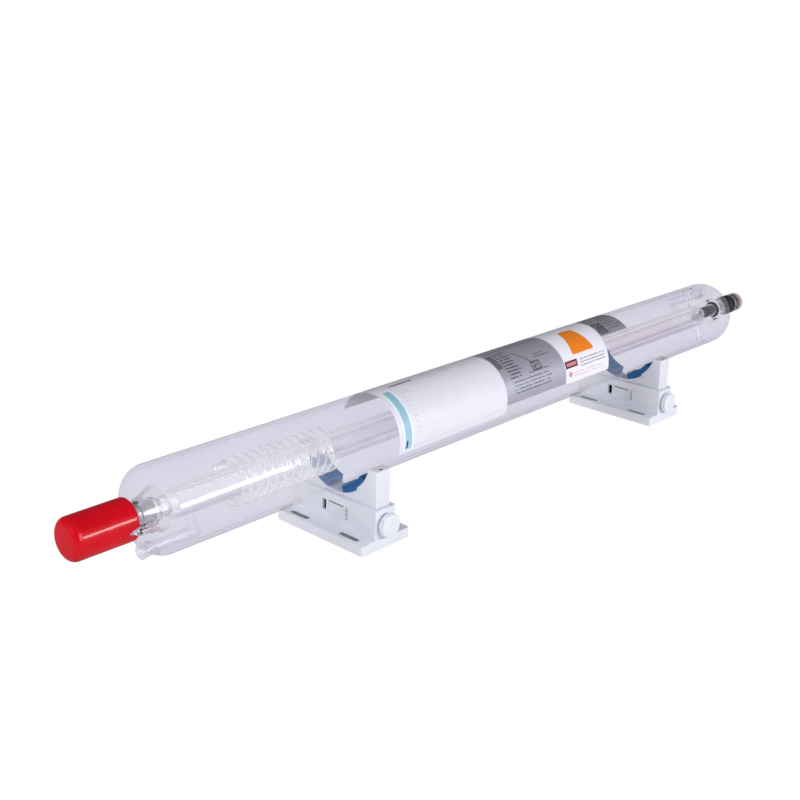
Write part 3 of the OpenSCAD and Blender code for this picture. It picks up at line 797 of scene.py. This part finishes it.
xi = XL_E - WALL
bell = [(6.8, 0.1), (7.75, 2.5), (8.85, 4.1), (9.0, 5.2), (9.35, 6.8), (10.2, 9.2), (11.3, 11.4), (12.2, 13.3), (12.65, 14.2), (12.88, 14.7), (12.8, 15.15), (12.45, 15.35),
        (12.05, 15.2), (11.7, 14.7), (11.2, 13.2), (10.3, 11.0), (9.2, 8.8), (8.4, 6.6), (8.0, 4.9), (7.6, 4.2), (7.2, 4.0)]
loop = [(-xi - 3.3, 4.42), (-xi - 1.36, 5.0), (-xi - 0.2, 6.45)] + [(-xi + dx, r) for r, dx in bell] + [(-xi + 5.0, 6.9), (-xi + 12.5, 6.9), (-xi + 14.0, 6.5), (-xi + 15.5, 5.7), (-xi + 16.9, 4.6), (274.3, 4.6), (274.48, 4.45), (274.48, 3.65), (274.3, 3.5)]
loop += [(-xi + 16.3, 3.5), (-xi + 14.3, 4.6), (-xi + 12.9, 5.5), (-xi + 11.9, 5.8), (-xi + 3.1, 5.8), (-xi + 1.0, 4.9), (-xi - 1.5, 3.6)]
bore = revolve("bore_glass", loop, 72, sharp=60)
put(bore, TUBE, BORE, ["discharge_tube"])
bore.data.materials.append(WORKED)
bore.data.materials.append(BELL)
for poly in bore.data.polygons:
    c = poly.center
    rho = math.hypot(c.y, c.z - AX * MM)
    if c.x < -0.2781:
        poly.material_index = 2 if rho > 0.0072 else 1
    elif c.x > 0.2738:
        poly.material_index = 1

# ------------------------------------------------------------------ gas return coil
CX0, TURNS, PITCH, CR, CT = -233.0, 11.75, 6.3, 12.2, 2.2
path = []
per = 40
for k in range(int(TURNS * per) + 1):
    t = k / per
    ang = math.radians(96 - 360 * t)
    wob = 0.16 * math.sin(t * 5.1) * math.sin(t * 2.3 + 1)
    path.append((CX0 + t * PITCH + wob, CR * math.cos(ang), AX + CR * math.sin(ang)))
tail = [(CX0 - 11 + 0.8 * k, CR * math.cos(math.radians(100)), AX + CR * math.sin(math.radians(100))) for k in range(12)]
path = tail + path[3:]
ov, of_ = sweep_data(path, CT - 0.02, 14)
coil = add_mesh("coil_glass", ov, of_, 60)
put(coil, TUBE, COIL, ["gas_return_coil"])

# ------------------------------------------------------------------ joints worked in the flame
weld = []


def ring_on_dome(s, y, z, r, thick):
    """A bead of glass where a pipe passes through a dome."""
    pts = []
    for k in range(36):
        t = 2 * math.pi * k / 36
        yy, zz = y + r * math.cos(t), z + r * math.sin(t)
        rho = math.hypot(yy, zz)
        e, c, rc = (XE - 3, XC, DR) if s > 0 else (XL_E - 4.8, XL_C, XL_R)
        x = e if rho < R - rc else c + math.sqrt(max(0.0, rc * rc - (rho - (R - rc)) ** 2))
        pts.append((s * (x - 0.15), yy, AX + zz))
    return sweep_data(pts, thick, 10, closed=True)


weld.append(ring_on_dome(-1, -9.0, -16.0, 3.75, 0.6))
weld.append(ring_on_dome(1, 12.4, 12.4, 3.9, 0.75))
weld.append(ring_on_dome(-1, -12.0, -2.9, 2.3, 0.6))
weld.append(ring_on_dome(1, 12.0, -8.0, 2.1, 0.6))
for x0, r0, th in ((-274.6, 4.9, 0.55), (271.4, 5.0, 0.5)):
    ringp = [(x0, (r0) * math.cos(2 * math.pi * k / 40), AX + r0 * math.sin(2 * math.pi * k / 40)) for k in range(40)]
    weld.append(sweep_data(ringp, th, 10, closed=True))
beads = add_mesh("glass_weld_beads", *merge(*weld), 60)
put(beads, TUBE, WORKED)

for n, mt in (
    ("bore_spacers", PIPE), ("jacket_feet", WORKED), ("gas_return_port", PIPE), ("inlet_water_pipe", PIPE), ("outlet_water_pipe", PIPE),
):
    nodes[n].data.materials.clear()
    nodes[n].data.materials.append(mt)
nodes["pump_stem"].data.materials.clear()
nodes["pump_stem"].data.materials.append(PINKISH)

# ------------------------------------------------------------------ red cap
RC = 11.9
XR_ = -XL_E - 1.2
X0 = -335.3
prof = [(X0, 0.0), (X0, 3.5)] + [(X0 + 4.5 - 4.5 * math.cos(t), RC - 4.5 + 4.5 * math.sin(t)) for t in np.linspace(0, math.pi / 2, 14)]
prof += [(x, RC) for x in (-325, -318, -311, -304, -300.5)] + [(XR_ - 0.7, RC), (XR_ - 0.3, RC - 0.12), (XR_ - 0.02, RC - 0.42), (XR_ - 0.02, RC - 1.1), (XR_ - 0.25, RC - 1.4), (XR_ - 0.7, RC - 1.5)]
prof += [(x, RC - 1.5) for x in (-304, -318, -325)] + [(X0 + 1.6 + 3.4 - 3.4 * math.cos(t), RC - 1.5 - 3.4 + 3.4 * math.sin(t)) for t in np.linspace(math.pi / 2, 0, 10)] + [(X0 + 1.6, 0.0)]
rv, rf = revolve_data(prof, 144, closed=False)
cap = add_mesh("red_cap", rv, rf, 45)
cut = bpy.data.meshes.new("notch_cutter")
zz = [(XR_ + 2.0, 0.99), (XR_ - 5.9, -2.12), (XR_ - 6.35, -3.0), (XR_ - 5.9, -3.8), (XR_ + 2.0, -5.86)]
cv = [(x * MM, -20 * MM, (AX + z) * MM) for x, z in zz] + [(x * MM, -6 * MM, (AX + z) * MM) for x, z in zz]
m = len(zz)
cf = [list(range(m)), list(range(2 * m - 1, m - 1, -1))] + [[k, m + k, m + (k + 1) % m, (k + 1) % m] for k in range(m)]
cut.from_pydata(cv, [], cf)
bmc = bmesh.new()
bmc.from_mesh(cut)
bmesh.ops.recalc_face_normals(bmc, faces=bmc.faces)
bmc.to_mesh(cut)
bmc.free()
cutter = bpy.data.objects.new("notch_cutter", cut)
bpy.context.scene.collection.objects.link(cutter)
mod = cap.modifiers.new("notch", "BOOLEAN")
mod.operation = "DIFFERENCE"
mod.object = cutter
mod.solver = "EXACT"
bpy.context.view_layer.update()
dg = bpy.context.evaluated_depsgraph_get()
done = bpy.data.meshes.new_from_object(cap.evaluated_get(dg))
cap.modifiers.clear()
cap.data = done
bpy.data.objects.remove(cutter)
done.polygons.foreach_set("use_smooth", [True] * len(done.polygons))
done.set_sharp_from_angle(angle=math.radians(40))
put(cap, TUBE, RED, ["red_end_cap"])

# ------------------------------------------------------------------ output end
HR = 7.8
prof = [(310.6, 6.2), (310.6, 6.6), (310.75, 6.7), (311.4, 6.7), (311.6, 7.2), (311.75, 7.42), (312.1, 7.5), (312.4, 7.42), (312.6, 7.15), (312.75, 7.12), (312.9, 7.5), (313.0, 7.74), (313.3, HR), (320.7, HR), (321.0, 7.74), (321.35, 7.1)]
for k in range(3):
    g0 = 321.6 + 3.6 * k
    prof += [(g0, 7.03), (g0 + 1.5, 7.03), (g0 + 1.75, 6.9), (g0 + 2.0, 6.55), (g0 + 2.3, 6.46), (g0 + 2.8, 6.46), (g0 + 3.0, 6.52), (g0 + 3.3, 6.95)]
prof += [(332.3, 6.97), (332.58, 6.75), (332.58, 5.5), (332.4, 5.4), (317.1, 5.4), (317.0, 7.03), (314, 7.03), (314, 6.2)]
head = revolve("head_sleeve", prof, 112, sharp=38)
put(head, TUBE, HEAD, ["output_sleeve"])
prof = [(321.6, HR - 0.7), (321.6, HR - 0.15), (321.75, HR)] + [(333.2, HR), (334.1, HR - 0.25), (334.8, HR - 0.8), (335.15, HR - 1.7), (335.2, 0.0), (334.1, 0.0), (334.05, HR - 2.1), (333.7, HR - 1.2), (333.0, HR - 0.74)]
rv, rf = revolve_data(prof, 112, closed=True)
capc = add_mesh("head_cap", rv, rf, 45)
put(capc, TUBE, CAPCLEAR, ["output_cap"])

for n, mt in (
    ("rear_mirror_mount", ALU), ("rear_mirror", GOLD), ("rear_mirror_ring", ALU), ("output_mirror", LENS),
    ("anode_sleeve", ANODE), ("anode_pin", ANODE), ("cathode_sleeve", DARKSTEEL), ("cathode_pin", STEEL),
):
    nodes[n].data.materials.clear()
    nodes[n].data.materials.append(mt)


# ------------------------------------------------------------------ labels
def label(name, node, x0, x1, a0, a1, mat, t=0.15, round_=2.0):
    """A curved film with rounded corners, standing t proud of the glass."""
    nx, na = max(4, int((x1 - x0) / 4)), max(4, int((a1 - a0) / 2))
    grid, verts = {}, []
    half_a = round_ / R * 180 / math.pi

    def inset(a):
        d = min(a - a0, a1 - a)
        if d >= half_a:
            return 0.0
        s = 1 - d / half_a
        return round_ * (1 - math.sqrt(max(0.0, 1 - s * s)))

    arcs = sorted({a0, a1, *[a0 + half_a * k / 6 for k in range(7)], *[a1 - half_a * k / 6 for k in range(7)], *[a0 + (a1 - a0) * k / na for k in range(na + 1) if half_a < (a1 - a0) * k / na < (a1 - a0) - half_a]})
    for lv, rr in ((0, R + t), (1, R + 0.01)):
        for i, a in enumerate(arcs):
            ins = inset(a)
            for k in range(nx + 1):
                x = x0 + ins + (x1 - x0 - 2 * ins) * k / nx
                grid[lv, i, k] = len(verts)
                verts.append(pt(x, a, rr))
    faces = []
    n = len(arcs)
    for i in range(n - 1):
        for k in range(nx):
            faces.append([grid[0, i, k], grid[0, i, k + 1], grid[0, i + 1, k + 1], grid[0, i + 1, k]])
            faces.append([grid[1, i, k], grid[1, i + 1, k], grid[1, i + 1, k + 1], grid[1, i, k + 1]])
    for k in range(nx):
        for i in (0, n - 1):
            faces.append([grid[0, i, k], grid[1, i, k], grid[1, i, k + 1], grid[0, i, k + 1]])
    for i in range(n - 1):
        for k in (0, nx):
            faces.append([grid[0, i, k], grid[0, i + 1, k], grid[1, i + 1, k], grid[1, i, k]])
    ob = add_mesh(name, verts, faces, 50)
    return put(ob, TUBE, mat, [node])


label("label_main", "main_label", -119.5, -15.6, -21, 160, MAIN_FILM, 0.13, 0.8)
label("label_data", "data_label", -15.5, 49.8, -6, 150, DATA_FILM, 0.15, 0.6)
label("label_symbol", "symbol_label", 50.4, 102.4, -8, 130, SYMBOL_FILM, 0.15, 0.6)
label("label_code", "code_label", 103.4, 137, 49, 112, CODE_FILM, 0.15, 0.5)

# ------------------------------------------------------------------ brackets
for side, cx in SIDES:
    foot = soften(f"{side}_foot", 0.35, 3)
    put(foot, f"{side}_base", PLASTIC, [f"{side}_foot"])
    sad = soften(f"{side}_saddle", 0.35, 3)
    put(sad, TUBE, PLASTIC, [f"{side}_saddle"])
    kn = soften(f"{side}_knob", 0.22, 2)
    put(kn, f"{side}_adjuster", PLASTIC_KNOB, [f"{side}_knob"])
    pd = soften(f"{side}_pads", 0.4, 3)
    put(pd, TUBE, RUBBER, [f"{side}_pads"])
    for n, mt in (("screw", STEEL), ("screw_clip", STEEL), ("nut", BLACK), ("cross_pin", STEEL)):
        nodes[f"{side}_{n}"].data.materials.clear()
        nodes[f"{side}_{n}"].data.materials.append(mt)
    # height scale: raised ticks beside the window
    vs, fs = [], []
    for k in range(6):
        z0 = 11.9 + k * 1.32
        y0, y1 = -12.8, (-10.7 if k % 2 == 0 else -11.5)
        x0, x1 = cx - 8.2 - 0.14, cx - 8.2 + 0.1
        b = len(vs)
        zt = z0 + 0.42
        vs += [(x0, y0, z0), (x0, y1, z0), (x0, y1, zt), (x0, y0, zt), (x1, y0, z0 - 0.1), (x1, y1, z0 - 0.1), (x1, y1, zt + 0.1), (x1, y0, zt + 0.1)]
        fs += [[b + i for i in q] for q in ([0, 1, 2, 3], [7, 6, 5, 4], [0, 4, 5, 1], [1, 5, 6, 2], [2, 6, 7, 3], [3, 7, 4, 0])]
    # a dark strip along the top of the window: painted shadow
    b = len(vs)
    for xx in (cx - 7.75, cx - 7.35):
        vs += [(xx, -9.1, 18.75), (xx, 3.9, 18.75), (xx, 3.9, 19.25), (xx, -9.1, 19.25)]
    fs += [[b + i for i in q] for q in ([0, 1, 2, 3], [7, 6, 5, 4], [0, 4, 5, 1], [1, 5, 6, 2], [2, 6, 7, 3], [3, 7, 4, 0])]
    tick = add_mesh(f"{side}_scale_ticks_and_shadow", vs, fs, 30)
    put(tick, f"{side}_base", None)

# dark grey for the ticks and for the strip of painted shadow
TICK_AND_SHADOW = moulded("tick_and_shadow_grey", (0.12, 0.125, 0.155), rough=0.5)
for side, cx in SIDES:
    bpy.data.objects[f"{side}_scale_ticks_and_shadow"].data.materials.append(TICK_AND_SHADOW)

# ------------------------------------------------------------------ camera
yaw, pitch, roll = math.radians(43.69), math.radians(-17.44), math.radians(0.886)
fwd = Vector((math.cos(pitch) * math.cos(yaw), math.cos(pitch) * math.sin(yaw), math.sin(pitch)))
right = Vector((math.sin(yaw), -math.cos(yaw), 0))
up = right.cross(fwd)
r2 = right * math.cos(roll) + up * math.sin(roll)
u2 = up * math.cos(roll) - right * math.sin(roll)
cam_data = bpy.data.cameras.new("camera")
cam = bpy.data.objects.new("camera", cam_data)
bpy.context.scene.collection.objects.link(cam)
rot = Matrix((r2, u2, -fwd)).transposed()
cam.matrix_world = Matrix.Translation(Vector((-0.6206, -0.4882, 0.3276))) @ rot.to_4x4()
cam_data.sensor_width = 36
cam_data.lens = 54.71
cam_data.shift_x = 0.0217
cam_data.shift_y = -0.0594
cam_data.clip_start, cam_data.clip_end = 0.01, 50
bpy.context.scene.camera = cam

# ------------------------------------------------------------------ studio
scene = bpy.context.scene
scene.view_settings.view_transform = "Standard"
scene.view_settings.look = "None"
scene.view_settings.exposure = 0.0
scene.view_settings.gamma = 1.0

world = bpy.data.worlds.new("studio")
scene.world = world
world.use_nodes = True
nt = world.node_tree
nt.nodes.clear()
out = nt.nodes.new("ShaderNodeOutputWorld")
mixs = nt.nodes.new("ShaderNodeMixShader")
lp = nt.nodes.new("ShaderNodeLightPath")
bg_cam = nt.nodes.new("ShaderNodeBackground")
bg_cam.inputs[0].default_value = (1, 1, 1, 1)
bg_cam.inputs[1].default_value = 1.0
bg_env = nt.nodes.new("ShaderNodeBackground")
tc = nt.nodes.new("ShaderNodeTexCoord")
sep = nt.nodes.new("ShaderNodeSeparateXYZ")
ramp = nt.nodes.new("ShaderNodeValToRGB")
nt.links.new(tc.outputs["Generated"], sep.inputs[0])
mr = nt.nodes.new("ShaderNodeMapRange")
mr.inputs["From Min"].default_value = -1
mr.inputs["From Max"].default_value = 1
nt.links.new(sep.outputs[2], mr.inputs[0])
nt.links.new(mr.outputs[0], ramp.inputs[0])
e = ramp.color_ramp.elements
e[0].position, e[0].color = 0.0, (0.80, 0.80, 0.84, 1)
e[1].position, e[1].color = 0.47, (0.86, 0.86, 0.90, 1)
for pos, v in ((0.51, 0.30), (0.62, 0.22), (0.80, 0.26), (1.0, 0.34)):
    k = e.new(pos)
    k.color = (v, v, v * 1.05, 1)
nt.links.new(ramp.outputs[0], bg_env.inputs[0])
# a mirror-like surface sees a darker room than a dull one
dull = nt.nodes.new("ShaderNodeMath")
dull.operation = "MULTIPLY_ADD"
nt.links.new(lp.outputs["Is Glossy Ray"], dull.inputs[0])
dull.inputs[1].default_value = -0.32
dull.inputs[2].default_value = 0.62
nt.links.new(dull.outputs[0], bg_env.inputs[1])
# beyond clear glass the studio's grey backdrop is seen, and beside the object plain white
beyond = nt.nodes.new("ShaderNodeMath")
beyond.operation = "ADD"
beyond.use_clamp = True
nt.links.new(lp.outputs["Transparent Depth"], beyond.inputs[0])
nt.links.new(lp.outputs["Is Transmission Ray"], beyond.inputs[1])
tone = nt.nodes.new("ShaderNodeMix")
tone.data_type = "RGBA"
tone.inputs[6].default_value = (1, 1, 1, 1)
tone.inputs[7].default_value = (0.715, 0.701, 0.822, 1)
nt.links.new(beyond.outputs[0], tone.inputs[0])
nt.links.new(tone.outputs[2], bg_cam.inputs[0])
direct = nt.nodes.new("ShaderNodeMath")
direct.operation = "MAXIMUM"
nt.links.new(lp.outputs["Is Camera Ray"], direct.inputs[0])
nt.links.new(lp.outputs["Is Transmission Ray"], direct.inputs[1])
nt.links.new(direct.outputs[0], mixs.inputs[0])
nt.links.new(bg_env.outputs[0], mixs.inputs[1])
nt.links.new(bg_cam.outputs[0], mixs.inputs[2])
nt.links.new(mixs.outputs[0], out.inputs[0])


def area(name, loc, target, sx, sy, power, color=(1, 1, 1), mirrored=True):
    d = bpy.data.lights.new(name, "AREA")
    d.shape = "RECTANGLE"
    d.size, d.size_y = sx, sy
    d.energy = power
    d.color = color
    o = bpy.data.objects.new(name, d)
    scene.collection.objects.link(o)
    o.location = loc
    o.rotation_euler = (Vector(target) - Vector(loc)).to_track_quat("-Z", "Y").to_euler()
    o.visible_camera = False
    o.visible_glossy = mirrored
    return o


area("softbox_front", (0.60, -1.418, 0.40), (0.0, 0.0, 0.06), 0.52, 0.28, 8.0)
area("softbox_fill", (-0.3, -1.7, 0.7), (0.0, 0, 0.05), 1.2, 1.0, 18.5)
area("softbox_top", (-0.5, 1.2, 1.2), (0, 0, 0.05), 0.6, 0.6, 4.0, (0.97, 0.97, 1.0), False)
area("softbox_left", (-1.5, 0.2, 0.7), (-0.1, 0, 0.05), 0.9, 0.9, 14.0, (1, 1, 1), False)

# pale floor
fl = add_mesh("floor", [(-30, -30, 0), (30, -30, 0), (30, 30, 0), (-30, 30, 0)], [[0, 1, 2, 3]], 30, 1.0)
g = G("floor")
dif = g.node("ShaderNodeBsdfDiffuse")
dif.inputs["Color"].default_value = (0.10, 0.10, 0.105, 1)
path_in = g.node("ShaderNodeLightPath")
seen = V(g, path_in.outputs["Is Camera Ray"])
glossy = V(g, path_in.outputs["Is Glossy Ray"])
through = V(g, path_in.outputs["Is Transmission Ray"])
depth = V(g, path_in.outputs["Transparent Depth"])
emi = g.node("ShaderNodeEmission")
emi.inputs["Color"].default_value = (1, 1, 1, 1)
g.set(emi.inputs["Strength"], 0.70 - glossy * 0.55)
add = g.node("ShaderNodeAddShader")
g.t.links.new(dif.outputs[0], add.inputs[0])
g.t.links.new(emi.outputs[0], add.inputs[1])
plain = g.node("ShaderNodeEmission")
g.set(plain.inputs["Color"], g.mix((depth + through).clamp(), (1.0, 1.0, 1.0), (0.715, 0.701, 0.822)))
pick = g.node("ShaderNodeMixShader")
g.set(pick.inputs[0], seen.max(through))
g.t.links.new(add.outputs[0], pick.inputs[1])
g.t.links.new(plain.outputs[0], pick.inputs[2])
fl.data.materials.append(g.finish(pick.outputs[0]))

scene.cycles.max_bounces = 24
scene.cycles.transparent_max_bounces = 48
scene.cycles.transmission_bounces = 20
scene.cycles.glossy_bounces = 6
scene.cycles.caustics_reflective = False
scene.cycles.caustics_refractive = False
